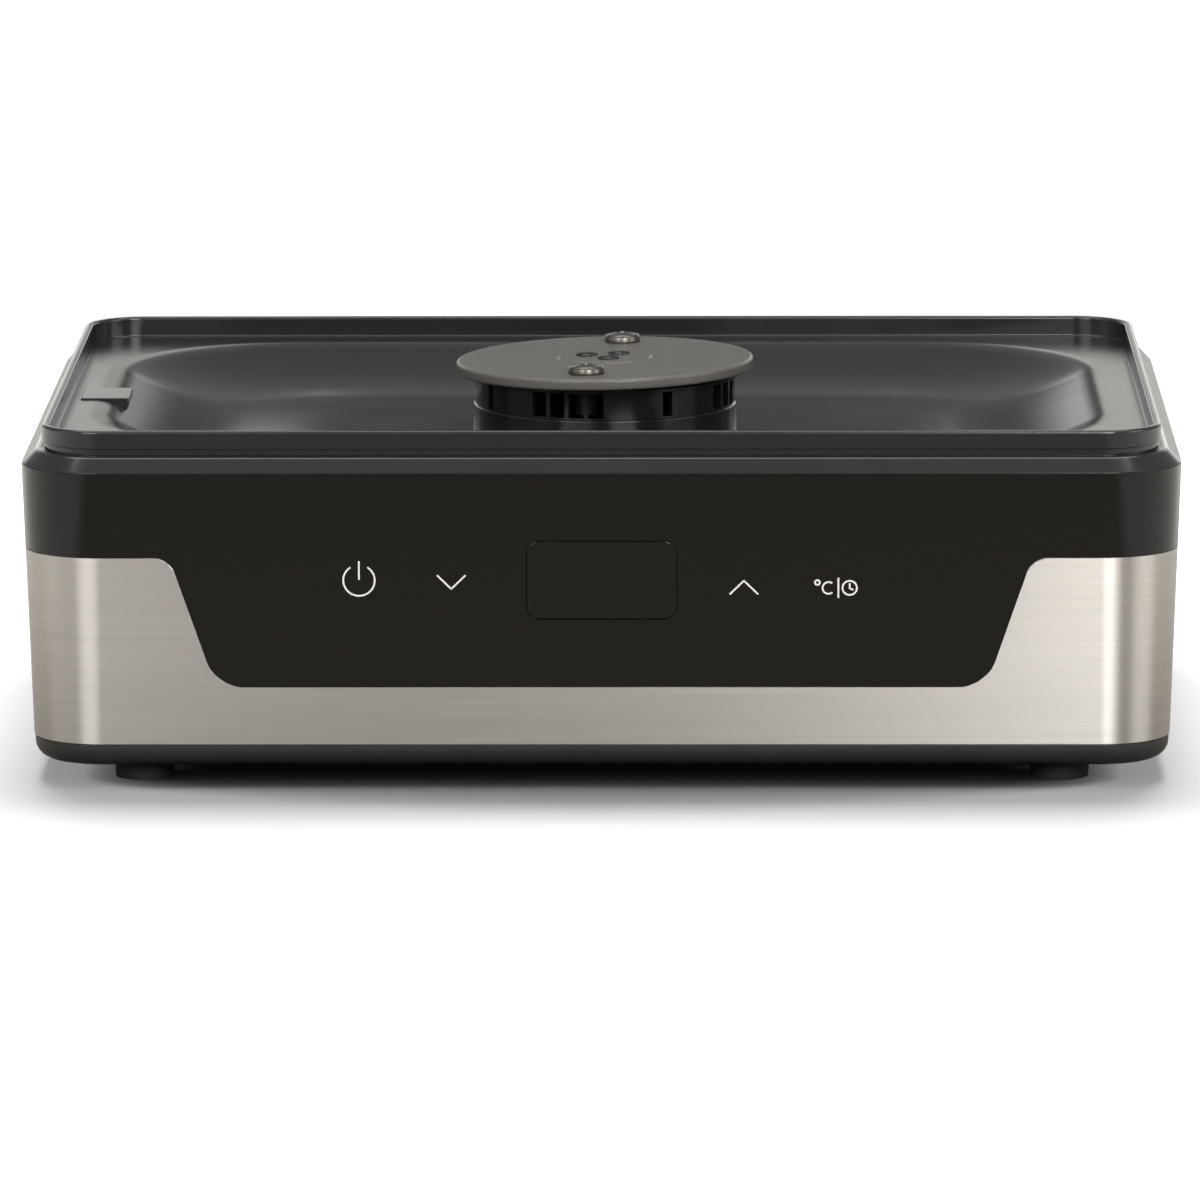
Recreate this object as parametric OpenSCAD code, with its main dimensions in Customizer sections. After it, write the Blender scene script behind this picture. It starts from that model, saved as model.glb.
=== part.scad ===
// Base unit of a stacking food dehydrator: a drafted steel and black moulded body on four
// rubber feet, a dished deck that a tray stands on, and an air tower over a fan and heater.
// Origin: middle of the footprint, on the surface the feet stand on. +Z is up, the front is -Y.

/* [Body] */
// Width of the body at its widest line
body_w = 340; // [332:1:352]
// Depth of the body at its widest line
body_d = 248; // [242:1:258]
// Radius of the four upright corners
corner_r = 24; // [23:0.5:26]
// Slope of the side walls from upright, in degrees
draft = 2; // [1.5:0.25:2.25]
// Height of the top edge of the gloss band, where the body is widest
band_top = 93.5; // [93:0.5:94]
// Height of the steel sleeve's top edge
steel_top = 68.4; // [67.5:0.1:69]
// Thickness of the steel sleeve
steel_t = 0.6; // [0.5:0.1:0.6]
// Wall of the moulded gloss band
band_wall = 2.5; // [2.3:0.1:2.5]

/* [Feet] */
// Height of the rubber feet
foot_h = 6; // [5.5:0.5:6.5]
// Diameter of a rubber foot
foot_d = 17.8; // [16:0.2:19]
// Distance from the middle to a foot, left and right
foot_x = 134.7; // [132:0.1:136]
// Distance from the middle to a foot, front and back
foot_y = 101; // [98:1:102]

/* [Deck] */
// Height of the flat deck
deck_z = 99; // [98.8:0.1:99.2]
// Height of the lip's crest
lip_top = 105.1; // [104:0.1:106]
// Thickness of the lip
lip_t = 2.5; // [2:0.1:2.8]
// Width of the dish at the deck
dish_w = 297; // [294:1:299]
// Depth of the dish, front to back, at the deck
dish_d = 205; // [203:1:206]
// Corner radius of the dish at the deck
dish_r = 60; // [58:1:62]
// Width of the dish's curved wall, seen from above
dish_wall = 44; // [42:1:45]
// Height of the dish's flat floor
dish_floor = 87; // [86:0.5:88]

/* [Air tower] */
// Outer radius of the plain collar
collar_r = 39.85; // [39:0.05:40]
// Height of the collar's top edge
collar_top = 95.9; // [95:0.1:96.5]
// Outer radius of the vent ring
vent_r = 39.2; // [38.6:0.1:39.3]
// Width of one window group, in degrees
window_angle = 33; // [30:1:35]
// Radius of the cap
cap_r = 45; // [44:0.1:46]
// Thickness of the cap at its edge
cap_t = 3.5; // [3:0.1:4]
// Height of the cap's underside at the tower's axis
cap_z = 105.85; // [105.5:0.05:106]
// Lean of the cap, right side up, in degrees
cap_tilt = 1; // [0:0.25:1.25]

/* [Fan] */
// Number of impeller blades
blades = 7; // [5:1:9]
// Impeller tip radius
blade_r = 36; // [34:0.5:36.5]
// Blade pitch, in degrees
blade_pitch = 35; // [25:1:36]
// Motor shaft radius
shaft_r = 2; // [1.8:0.1:2]
// Running clearance between the shaft and its bearings
shaft_play = 0.03; // [0.02:0.01:0.08]

/* [Controls] */
// Width of the display window
window_w = 44.1; // [42:0.1:46]
// Height of the display window
window_h = 23.4; // [22:0.1:24]
// Height of the display window's middle
window_z = 61.9; // [61:0.1:62.5]
// Lowest edge of the front tongue
tongue_z = 30.2; // [29:0.1:32]

/* [Hidden] */
$fn = 64;

black = "#1c1b1a";
gloss_black = "#242018";
satin_grey = "#3a3938";
steel = "#a8a39c";
rubber_black = "#161616";
board_green = "#1f5a38";
zinc = "#b9bcc0";
brass = "#b8923c";
copper = "#b0683a";
cream = "#d8cfb8";

slop = 0.1;
screw_r = 1.75;
screw_bore_r = 1.8;
plate_top = foot_h + 6.6;
plate_floor = foot_h + 2.5;
steel_bottom = plate_top + 0.3;
band_bottom = steel_top + 0.2;
frame_skin = steel_t + slop;
frame_wall = 3.2;
frame_top = band_bottom + 7.4;
shoulder_run = 4.2;
shoulder_top = band_top + 4.4;
lip_inset = 6;
lip_groove = 0.7;
lip_round = 0.8;
deck_t = 2.4;
skirt_z = band_top - 3.5;
front_y = -body_d / 2;

// How far the wall's outer face stands in from the widest line at height z
function inset(z) = (band_top - z) * tan(draft);

// Points along an arc, from angle a to angle b
function arc(x, y, r, a, b, steps = 6) =
  [for (i = [0:steps]) [x + r * cos(a + (b - a) * i / steps), y + r * sin(a + (b - a) * i / steps)]];

// Sweeps a flat section round a rounded rectangle. The section's x grows outwards from the
// line through the corner centres, and its y is the height.
module round_sweep(w, d, r) {
  for (side = [0:3]) {
    across = side % 2 == 0 ? w : d;
    along = side % 2 == 0 ? d : w;
    rotate([0, 0, 90 * side])
      translate([across / 2 - r, along / 2 - r, 0]) {
        rotate([90, 0, 0]) linear_extrude(along - 2 * r) children();
        rotate_extrude(angle = 90) children();
      }
  }
}

// A section round the body, drawn as [inset from the widest line, height]
module body_ring(section) {
  round_sweep(body_w, body_d, corner_r)
    polygon([for (p = section) [corner_r - p[0], p[1]]]);
}

// A drafted wall round the body, skin deep under the outer face and t thick
module body_wall(z0, z1, skin, t) {
  body_ring([[inset(z0) + skin, z0], [inset(z0) + skin + t, z0],
    [inset(z1) + skin + t, z1], [inset(z1) + skin, z1]]);
}

// A layer of the front wall only, skin deep under the outer face and t thick
module front_slab(z0, z1, skin, t) {
  flat_w = body_w - 2 * corner_r;
  translate([-flat_w / 2, 0, 0])
    rotate([90, 0, 90])
      linear_extrude(flat_w)
        polygon([[front_y + inset(z0) + skin, z0], [front_y + inset(z0) + skin + t, z0],
          [front_y + inset(z1) + skin + t, z1], [front_y + inset(z1) + skin, z1]]);
}

// Pushes a flat outline, drawn as x and height, straight through the front wall
module through_front() {
  translate([0, front_y + 12, 0])
    rotate([90, 0, 0])
      linear_extrude(16)
        children();
}

module rounded_square(w, h, r) {
  square([w - 2 * r, h], center = true);
  square([w, h - 2 * r], center = true);
  for (sx = [-1, 1], sy = [-1, 1])
    translate([sx * (w / 2 - r), sy * (h / 2 - r)])
      circle(r);
}

module tube(r_out, r_in, z0, z1) {
  translate([0, 0, z0])
    linear_extrude(z1 - z0)
      difference() {
        circle(r_out);
        circle(r_in);
      }
}

module post(r, z0, z1) {
  translate([0, 0, z0])
    cylinder(r = r, h = z1 - z0);
}

module block(low, high) {
  translate(low)
    cube(high - low);
}

// Puts one copy at each [x, y] place
module at(places) {
  for (p = places)
    translate([p[0], p[1], 0])
      children();
}

// ---- Fixing places ----
foot_places = [for (sx = [-1, 1], sy = [-1, 1]) [sx * foot_x, sy * foot_y]];
body_screw_places = concat([for (sx = [-1, 1], sy = [-1, 1]) [sx * 150, sy * 86]],
  [[-154, 0], [154, 0]]);
body_well_r = 4.4;
body_seat_z = plate_floor + 2.1;

// ---- Top deck: lip, dish and tray key ----
dish_floor_r = dish_r - dish_wall;
dish_drop = deck_z - dish_floor;
dish_arc_r = (dish_wall * dish_wall + dish_drop * dish_drop) / (2 * dish_drop);
dish_steps = 8;
dish_curve = [for (i = [0:dish_steps])
  let (run = dish_wall * i / dish_steps)
  [dish_floor_r + run, dish_floor + dish_arc_r - sqrt(dish_arc_r * dish_arc_r - run * run)]];
collar_hole_r = collar_r + 0.15;
duct_screw_r = 51;
duct_screw_places = [for (a = [45:90:315]) [duct_screw_r * cos(a), duct_screw_r * sin(a)]];
flange_z = dish_floor - deck_t - 4.8;

module lip_section() {
  lip_inner = lip_inset + lip_t;
  crest = lip_top - lip_round;
  polygon([for (p = concat(
      [[0, band_top], [shoulder_run, shoulder_top], [lip_inset - 0.1, shoulder_top],
        [lip_inset - 0.1, shoulder_top - 0.3], [lip_inset + lip_groove, shoulder_top - 0.3],
        [lip_inset + lip_groove, shoulder_top + 1.7], [lip_inset, shoulder_top + 1.9]],
      [for (q = arc(-lip_inset - lip_round, crest, lip_round, 0, 90, 3)) [-q[0], q[1]]],
      [for (q = arc(-lip_inner + lip_round, crest, lip_round, 90, 180, 3)) [-q[0], q[1]]],
      [[lip_inner, deck_z], [corner_r, deck_z], [corner_r, deck_z - deck_t],
        [4.6, deck_z - deck_t], [4.6, skirt_z], [2.7, skirt_z], [2.7, band_top]]))
    [corner_r - p[0], p[1]]]);
}

module dish_section() {
  polygon(concat(dish_curve,
    [for (i = [dish_steps:-1:0]) [dish_curve[i][0], dish_curve[i][1] - deck_t]]));
}

module top_deck() {
  inner_w = body_w - 2 * corner_r;
  inner_d = body_d - 2 * corner_r;
  floor_w = dish_w - 2 * dish_wall;
  floor_d = dish_d - 2 * dish_wall;
  color(satin_grey) {
    difference() {
      union() {
        round_sweep(body_w, body_d, corner_r) lip_section();
        translate([-inner_w / 2, -inner_d / 2, deck_z - deck_t])
          cube([inner_w, inner_d, deck_t]);
      }
      translate([0, 0, deck_z - deck_t - 1])
        linear_extrude(deck_t + 2)
          rounded_square(dish_w, dish_d, dish_r);
    }
    round_sweep(dish_w, dish_d, dish_r) dish_section();
    difference() {
      union() {
        translate([0, 0, dish_floor - deck_t])
          linear_extrude(deck_t)
            rounded_square(floor_w, floor_d, dish_floor_r);
        at(duct_screw_places) post(4, flange_z, dish_floor - deck_t + 0.5);
      }
      post(collar_hole_r, flange_z, dish_floor + 1);
      at(duct_screw_places) post(screw_bore_r, flange_z - 1, dish_floor - deck_t - 0.2);
    }
    difference() {
      at(body_screw_places) post(5, frame_top, deck_z - deck_t + 0.5);
      at(body_screw_places) post(screw_bore_r, frame_top - 1, deck_z - 5);
    }
    block([-158, -17, deck_z - 2.2], [-143.5, 4, deck_z + 0.5]);
  }
}

// ---- Gloss band with the front tongue, and its display window ----
tongue_slope = 18.9;
tongue_half = 112.3;
tongue_low_r = 11;
tongue_flare_r = 6.5;

// Right half of the tongue's outline, grown all round by g
function tongue_half_outline(g) =
  let (
    z0 = tongue_z - g,
    x0 = tongue_half + g / cos(tongue_slope) - g * tan(tongue_slope),
    r0 = tongue_low_r + g,
    r1 = tongue_flare_r - g,
    cx = x0 - r0 * (1 - sin(tongue_slope)) / cos(tongue_slope),
    rise = band_bottom - r1 - z0,
    fx = x0 + (r1 + sin(tongue_slope) * rise) / cos(tongue_slope)
  )
  concat(arc(cx, z0 + r0, r0, -90, -tongue_slope),
    arc(fx, band_bottom - r1, r1, 180 - tongue_slope, 90),
    [[fx, band_bottom + 9]]);

module tongue_outline(g) {
  right = tongue_half_outline(g);
  last = len(right) - 1;
  polygon(concat(right, [for (i = [last:-1:0]) [-right[i][0], right[i][1]]]));
}

window_x = 0.35;
window_r = 3.8;
lens_t = 1.4;
aperture_rim = 2;
touch_places = [[-70.4, 61.9], [-43.5, 61.3], [41.8, 59.8], [68.6, 59.6]];
control_y = front_y + 10.5;
control_screw_places = [for (sx = [-1, 1], z = [48, 76]) [sx * 78, z]];

module window_outline(shrink) {
  translate([window_x, window_z])
    rounded_square(window_w - 2 * shrink, window_h - 2 * shrink, max(window_r - shrink, 1));
}

module fascia_band() {
  color(gloss_black)
    difference() {
      union() {
        body_wall(band_bottom, band_top - 0.05, 0, band_wall);
        intersection() {
          front_slab(tongue_z - 1, band_bottom + 4, 0, band_wall);
          through_front() tongue_outline(0);
        }
        for (p = control_screw_places)
          translate([p[0], front_y + inset(p[1]) + 1.2, p[1]])
            rotate([-90, 0, 0])
              cylinder(r = 3.2, h = control_y - front_y - inset(p[1]) - 1.2);
      }
      intersection() {
        front_slab(window_z - 20, window_z + 20, -1, lens_t + 1);
        through_front() window_outline(0);
      }
      through_front() window_outline(aperture_rim);
      for (p = control_screw_places)
        translate([p[0], control_y - 5, p[1]])
          rotate([-90, 0, 0])
            cylinder(r = 1.3, h = 6);
    }
}

module display_window() {
  color("#2c2824")
    intersection() {
      front_slab(window_z - 20, window_z + 20, 0, lens_t);
      through_front() window_outline(slop);
    }
}

// ---- Steel sleeve, frame and base plate ----
gland_x = 112;
gland_z = 27;
gland_r = 6;

module gland_hole(r) {
  translate([gland_x, body_d / 2 + 4, gland_z])
    rotate([90, 0, 0])
      cylinder(r = r, h = 16);
}

module steel_sleeve() {
  color(steel)
    difference() {
      body_wall(steel_bottom, steel_top, 0, steel_t);
      through_front() tongue_outline(0.25);
      gland_hole(gland_r + slop);
    }
}

module inner_frame() {
  wall_in = frame_skin + frame_wall;
  step = band_wall + slop;
  color(black)
    difference() {
      union() {
        body_ring([[inset(plate_top) + frame_skin, plate_top],
          [inset(plate_top) + wall_in, plate_top], [inset(frame_top) + wall_in, frame_top],
          [inset(frame_top) + step, frame_top], [inset(band_bottom) + step, band_bottom],
          [inset(band_bottom) + frame_skin, band_bottom]]);
        at(body_screw_places) post(5.5, plate_top, frame_top);
        for (p = body_screw_places) {
          wall_x = sign(p[0]) * (body_w / 2 - 4);
          block([min(p[0], wall_x), p[1] - 1.25, plate_top],
            [max(p[0], wall_x), p[1] + 1.25, frame_top - 4]);
        }
      }
      at(body_screw_places) post(2.2, plate_top - 1, frame_top + 1);
      through_front() tongue_outline(0.25);
      gland_hole(gland_r + slop);
    }
}

grille_r = 46;
grille_pitch = 7;
grille_slot = 3.5;
motor_post_x = 34;
motor_post_places = [[-motor_post_x, 0], [motor_post_x, 0]];
board_places = [[68, -64], [136, -64], [68, 24], [136, 24]];
board_z = 20;

// One row of the air intake: slots across the grille, broken by the middle rib
module grille_row(y) {
  half = sqrt(grille_r * grille_r - y * y);
  for (side = [-1, 1])
    block([min(side * 3, side * half), y - grille_slot / 2, foot_h - 1],
      [max(side * 3, side * half), y + grille_slot / 2, plate_floor + 1]);
}

module base_plate() {
  rim = inset(plate_top) + 0.3;
  edge_r = 5;
  color(black)
    difference() {
      union() {
        body_ring(concat([[rim, plate_top]],
          [for (q = arc(-rim - edge_r, foot_h + edge_r, edge_r, 0, -90, 5)) [-q[0], q[1]]],
          [[corner_r, foot_h], [corner_r, plate_floor], [rim + 4.5, plate_floor],
            [rim + 4.5, plate_top]]));
        block([corner_r - body_w / 2, corner_r - body_d / 2, foot_h],
          [body_w / 2 - corner_r, body_d / 2 - corner_r, plate_floor]);
        at(body_screw_places) post(6.4, foot_h, plate_top);
        at(foot_places) post(4.5, plate_floor - 0.5, 15);
        at(motor_post_places) post(4.5, plate_floor - 0.5, 13);
        at(board_places) post(3.5, plate_floor - 0.5, board_z);
      }
      for (row = [-6:6])
        if (row != 0)
          grille_row(row * grille_pitch);
      at(body_screw_places) post(body_well_r, foot_h - 1, body_seat_z);
      at(body_screw_places) post(2.2, foot_h, plate_top + 1);
      at(foot_places) post(screw_bore_r, foot_h - 1, 14);
      at(motor_post_places) post(screw_bore_r, foot_h + 2.5, 14);
      at(board_places) post(1.3, board_z - 8, board_z + 1);
    }
}

// A pan-head screw: head up at z, or head down when up is false
module pan_screw(z, head_r, head_h, shank_r, length, up = true) {
  translate([0, 0, z])
    mirror([0, 0, up ? 0 : 1]) {
      difference() {
        rotate_extrude()
          polygon([[0, 0], [head_r, 0], [head_r, head_h * 0.55], [head_r * 0.8, head_h * 0.9],
            [head_r * 0.55, head_h], [0, head_h]]);
        for (turn = [0, 90])
          rotate([0, 0, turn])
            translate([-head_r * 0.55, -0.4, head_h * 0.45])
              cube([head_r * 1.1, 0.8, head_h]);
      }
      translate([0, 0, -length])
        cylinder(r = shank_r, h = length + 0.2);
    }
}

module rubber_foot(side_x, side_y) {
  r = foot_d / 2;
  color(rubber_black)
    translate([side_x * foot_x, side_y * foot_y, 0])
      rotate_extrude()
        polygon([[4.8, 0], [r - 1, 0], [r - 0.3, 0.7], [r, foot_h], [2.1, foot_h],
          [2.1, 3], [4.8, 3]]);
}
module foot_front_left() { rubber_foot(-1, -1); }
module foot_front_right() { rubber_foot(1, -1); }
module foot_rear_left() { rubber_foot(-1, 1); }
module foot_rear_right() { rubber_foot(1, 1); }

module foot_screws() {
  color(zinc)
    at(foot_places) pan_screw(3, 4, 2.2, screw_r, 10.5, up = false);
}

module body_screws() {
  color(zinc)
    at(body_screw_places)
      pan_screw(body_seat_z, 4, 2.8, screw_r, deck_z - 8 - body_seat_z, up = false);
}

// ---- Air tower ----
collar_t = 2.5;
vent_wall = 2.2;
bar_angle = 1.9;
slot_angle = 4.7;
cap_screw_places = [[-5.1, -32.4], [5.1, 32.4]];
rim_t = 0.95;

module air_collar() {
  color(black) {
    tube(collar_r, collar_r - collar_t, flange_z, collar_top);
    tube(44.5, collar_r - 0.5, flange_z, dish_floor - deck_t);
  }
}

// The plane that the cap rests on
module on_cap_plane() {
  translate([0, 0, cap_z])
    rotate([0, -cap_tilt, 0])
      children();
}

ring_top = cap_z - (vent_r + 1.3) * sin(cap_tilt) - 0.05;

// A wedge of the vent ring's wall, starting a degrees to the right of the front
module vent_cut(a, width) {
  rotate([0, 0, a - 90])
    rotate_extrude(angle = width)
      translate([vent_r - vent_wall - 2, collar_top + 0.5])
        square([vent_wall + 4, ring_top - rim_t - collar_top - 0.8]);
}

// The ring's wall with its four groups of windows and four slots
module vent_wall_ring() {
  light = (window_angle - 3 * bar_angle) / 4;
  difference() {
    rotate([0, 0, 45]) tube(vent_r, vent_r - vent_wall, collar_top, ring_top - 0.3);
    for (quarter = [0:3]) {
      for (i = [0:3])
        vent_cut(57 + 90 * quarter + i * (light + bar_angle), light);
      vent_cut(27 + 90 * quarter, slot_angle);
    }
  }
}

module vent_ring() {
  color(black)
    difference() {
      union() {
        vent_wall_ring();
        tube(collar_r - collar_t - slop, vent_r - vent_wall - 1.4, collar_top - 5, collar_top + 0.2);
        tube(vent_r + 1.3, vent_r - 4.6, ring_top - rim_t, ring_top);
        at(cap_screw_places) post(3.4, ring_top - 8, ring_top - 0.2);
      }
      at(cap_screw_places) post(1.7, ring_top - 9, ring_top + 1);
    }
}

module tower_cap() {
  edge = 1.4;
  top = cap_t;
  color("#4a4948")
    on_cap_plane() {
      difference() {
        rotate_extrude()
          polygon(concat([[0, 0]], arc(cap_r - 0.8, 0.8, 0.8, -90, 0, 3),
            arc(cap_r - edge, top - edge, edge, 0, 90, 4),
            [[14.4, top], [14, top + 0.5], [0, top + 0.5]]));
        at(cap_screw_places) post(1.6, -1, top + 1);
      }
      fan_mark(top + 0.4);
    }
}

// Plain three-petal fan symbol raised on the cap's low boss
module fan_mark(z) {
  for (petal = [0:2])
    rotate([0, 0, 30 + 120 * petal])
      translate([5.6, 1.2, z])
        difference() {
          cylinder(r = 3.4, h = 0.35);
          translate([0, 0, -1]) cylinder(r = 2.3, h = 2);
        }
}

module cap_washers() {
  color(zinc)
    on_cap_plane()
      at(cap_screw_places)
        translate([0, 0, cap_t])
          rotate_extrude()
            polygon([[1.7, 0], [5.4, 0], [5.5, 0.5], [5.3, 1.7], [4.9, 2.3], [4.4, 2.4],
              [4.1, 2.1], [1.7, 0.6]]);
}

module cap_screws() {
  head_z = cap_t + 0.7;
  color(zinc)
    on_cap_plane()
      at(cap_screw_places)
        translate([0, 0, head_z])
          difference() {
            union() {
              rotate_extrude()
                polygon([[0, 0], [1.7, 0], [3.75, 1.2], [3.75, 1.5], [3, 1.9], [1.8, 2.2],
                  [0, 2.3]]);
              translate([0, 0, -head_z - 7]) cylinder(r = 1.45, h = head_z + 7.1);
            }
            for (turn = [0, 90])
              rotate([0, 0, turn])
                translate([-1.8, -0.4, 1.1])
                  cube([3.6, 0.8, 2]);
          }
}

// ---- Fan duct and heater ----
duct_r = 38;
duct_wall = 2.4;
duct_z = 50;
duct_flange_t = 2.5;
heater_z = 66;
heater_top = 77;
coil_rings = [15, 31];
coil_z = (heater_z + heater_top) / 2;
coil_tube_r = 2.25;
mica_t = 0.8;
stat_r = 7.5;
stat_face = -duct_r - 4;
sensor_angle = 135;
sensor_z = 72;

module fan_duct() {
  color(satin_grey)
    difference() {
      union() {
        tube(duct_r + duct_wall, duct_r, duct_z, flange_z);
        tube(56, duct_r, flange_z - duct_flange_t, flange_z);
        tube(duct_r + 1, duct_r - 1.8, heater_z - 1.4, heater_z);
        difference() {
          block([stat_face, -13, coil_z - 10], [-30, 13, coil_z + 5.7]);
          post(duct_r + 1, duct_z, flange_z);
        }
      }
      at(duct_screw_places) post(1.9, flange_z - duct_flange_t - 1, flange_z + 1);
      translate([-60, 0, coil_z - 2]) rotate([0, 90, 0]) cylinder(r = stat_r + slop, h = 30);
      rotate([0, 0, sensor_angle])
        translate([30, 0, sensor_z]) rotate([0, 90, 0]) cylinder(r = 2.1, h = 15);
    }
}

module duct_screws() {
  color(zinc)
    at(duct_screw_places)
      pan_screw(flange_z - duct_flange_t, 3.5, 2.2, screw_r, 6.9, up = false);
}

module heater_rings(grow) {
  for (r = coil_rings)
    translate([0, 0, coil_z])
      rotate_extrude()
        translate([r, 0])
          circle(coil_tube_r + grow);
}

module heater_frame() {
  reach = duct_r - 0.2;
  color(cream)
    difference() {
      union() {
        block([-reach, -mica_t / 2, heater_z], [reach, mica_t / 2, heater_top]);
        block([-mica_t / 2, -reach, heater_z], [mica_t / 2, reach, heater_top]);
        block([20, 0, coil_z - 2.1], [25, 13, coil_z - 1.3]);
      }
      heater_rings(0.05);
    }
}

module heater_coil() {
  color(steel) heater_rings(0);
}

fuse_body_r = 1.8;
module thermal_fuse() {
  color(zinc)
    translate([22.5, 1, coil_z - 1.3 + fuse_body_r])
      rotate([-90, 0, 0]) {
        cylinder(r = fuse_body_r, h = 10);
        cylinder(r = 0.5, h = 13);
      }
}

module thermostat() {
  color(zinc) {
    translate([stat_face - 8, 0, coil_z - 2])
      rotate([0, 90, 0])
        cylinder(r = stat_r, h = 10);
    difference() {
      block([stat_face - 1.2, -12, coil_z - 10], [stat_face, 12, coil_z + 5.5]);
      translate([stat_face - 3, 0, coil_z - 2]) rotate([0, 90, 0]) cylinder(r = stat_r, h = 6);
    }
    for (side = [-1, 1])
      block([stat_face - 15, side * 4 - 3, coil_z - 2.4], [stat_face - 8, side * 4 + 3, coil_z - 1.6]);
  }
}

module temperature_sensor() {
  color(cream)
    rotate([0, 0, sensor_angle])
      translate([34.5, 0, sensor_z])
        rotate([0, 90, 0]) {
          cylinder(r = 2, h = 11);
          translate([0, 0, duct_r + duct_wall - 34.5]) cylinder(r = 4, h = 1.5);
        }
}

// ---- Motor ----
stack_z = 24;
stack_top = 39;
rotor_bore_r = 13.3;
tie_x = 19;
tie_places = [[-tie_x, 0], [tie_x, 0]];
coil_y = 35;
bearing_r = 5;
lower_bearing_z = 14;
upper_bearing_z = 43;
bearing_h = 6;

module motor_stator() {
  color("#6c6f73")
    difference() {
      block([-24, -20, stack_z], [24, 40, stack_top]);
      post(rotor_bore_r, stack_z - 1, stack_top + 1);
      block([-16, 20, stack_z - 1], [16, 30, stack_top + 1]);
      block([-25, 30.5, stack_z - 1], [-16, 41, stack_top + 1]);
      block([16, 30.5, stack_z - 1], [25, 41, stack_top + 1]);
      at(tie_places) post(1.6, stack_z - 1, stack_top + 1);
      for (side = [-1, 1])
        rotate([0, 0, side * 40])
          block([rotor_bore_r - 1, -1, stack_z - 1], [rotor_bore_r + 2, 1, stack_top + 1]);
    }
}

module coil_core(grow) {
  block([-30, 30 - grow, stack_z - grow], [30, 40 + grow, stack_top + grow]);
}

module motor_bobbin() {
  color(cream)
    difference() {
      union() {
        for (side = [-1, 1])
          block([side * 14.5 - 1, 21.5, 16.5], [side * 14.5 + 1, 48.5, 46.5]);
        block([-14.5, 28.5, 22.5], [14.5, 41.5, 40.5]);
      }
      coil_core(0);
    }
}

module motor_coil() {
  color(copper)
    difference() {
      block([-13.5, 22.5, 17.5], [13.5, 47.5, 45.5]);
      block([-14, 28.5, 22.5], [14, 41.5, 40.5]);
    }
}

module motor_bracket_lower() {
  top = lower_bearing_z + bearing_h;
  color(zinc)
    difference() {
      union() {
        block([-42, -8, 14], [42, 8, 17]);
        at(tie_places) post(4.5, 16, stack_z);
        post(7.5, 12.9, top);
      }
      post(bearing_r, lower_bearing_z, top + 1);
      post(2.6, 12, 15);
      at(tie_places) post(1.6, 12, stack_z + 1);
      at(motor_post_places) post(4, 12, 18);
    }
}

module motor_bracket_upper() {
  color(zinc)
    difference() {
      union() {
        block([-24, -8, 46], [24, 8, 49]);
        at(tie_places) post(4.5, stack_top, 48);
        post(7.5, upper_bearing_z, 50);
      }
      post(bearing_r, upper_bearing_z - 1, upper_bearing_z + bearing_h);
      post(2.6, 48, 51);
      at(tie_places) post(1.6, stack_top - 1, 50);
    }
}

module bush(z) {
  color(brass) tube(bearing_r, shaft_r + shaft_play, z, z + bearing_h);
}
module bearing_lower() { bush(lower_bearing_z); }
module bearing_upper() { bush(upper_bearing_z); }

module motor_screws() {
  color(zinc)
    at(tie_places) pan_screw(49, 2.8, 2.2, 1.5, 38);
}

module motor_nuts() {
  color(zinc)
    at(tie_places)
      translate([0, 0, 11.6])
        difference() {
          cylinder(r = 3.2, h = 2.4, $fn = 6);
          translate([0, 0, -1]) cylinder(r = 1.52, h = 5);
        }
}

module motor_grommets() {
  color(rubber_black)
    at(motor_post_places)
      rotate_extrude()
        polygon([[1.85, 13], [6, 13], [6, 14], [3.9, 14], [3.9, 17], [6, 17], [6, 18.5],
          [1.85, 18.5]]);
}

module motor_mount_screws() {
  color(zinc)
    at(motor_post_places) pan_screw(18.5, 4, 2.2, screw_r, 9.5);
}

// ---- Spinning parts ----
fan_z = 58.5;
hub_low = 53;
hub_top = 64;
washer_gap = 0.1;

module fan_shaft() {
  color(steel) post(shaft_r, 13.4, 65.4);
}

module rotor_core() {
  color("#8a8d90") {
    tube(13, shaft_r, stack_z, stack_top);
    tube(11.5, shaft_r, stack_z - 2.5, stack_z);
    tube(11.5, shaft_r, stack_top, stack_top + 2.5);
  }
}

module thrust_washers() {
  low = lower_bearing_z + bearing_h + washer_gap;
  color(cream) {
    tube(4, shaft_r, low, low + 0.8);
    tube(4, shaft_r, upper_bearing_z - washer_gap - 0.8, upper_bearing_z - washer_gap);
  }
}

module impeller() {
  color(cream)
    difference() {
      union() {
        post(9, hub_low, hub_top);
        intersection() {
          for (i = [0:blades - 1])
            rotate([0, 0, 360 * i / blades])
              translate([(blade_r + 8) / 2, 0, fan_z])
                rotate([blade_pitch, 0, 0])
                  cube([blade_r - 4, 16, 1.6], center = true);
          tube(blade_r, 6, hub_low, hub_top);
        }
      }
      post(shaft_r, hub_low - 1, hub_top + 1);
    }
}

module impeller_clip() {
  color(zinc)
    difference() {
      tube(5, shaft_r, hub_top, hub_top + 0.7);
      block([0, -0.6, hub_top - 1], [6, 0.6, hub_top + 2]);
    }
}

// ---- Power board ----
board_t = 1.6;
board_top = board_z + board_t;
header_low = [72, -64, board_top];
header_high = [86, -57, board_top + 6.4];

module power_board() {
  color(board_green)
    difference() {
      block([62, -70, board_z], [142, 30, board_top]);
      at(board_places) post(1.7, board_z - 1, board_top + 1);
    }
  color(cream) block(header_low, header_high);
}

module board_screws() {
  color(zinc)
    at(board_places) pan_screw(board_top, 2.8, 1.8, 1.25, 8);
}

module relay() {
  color("#2b4f8e") block([92, -66, board_top], [111, -50, board_top + 15.5]);
}

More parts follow.
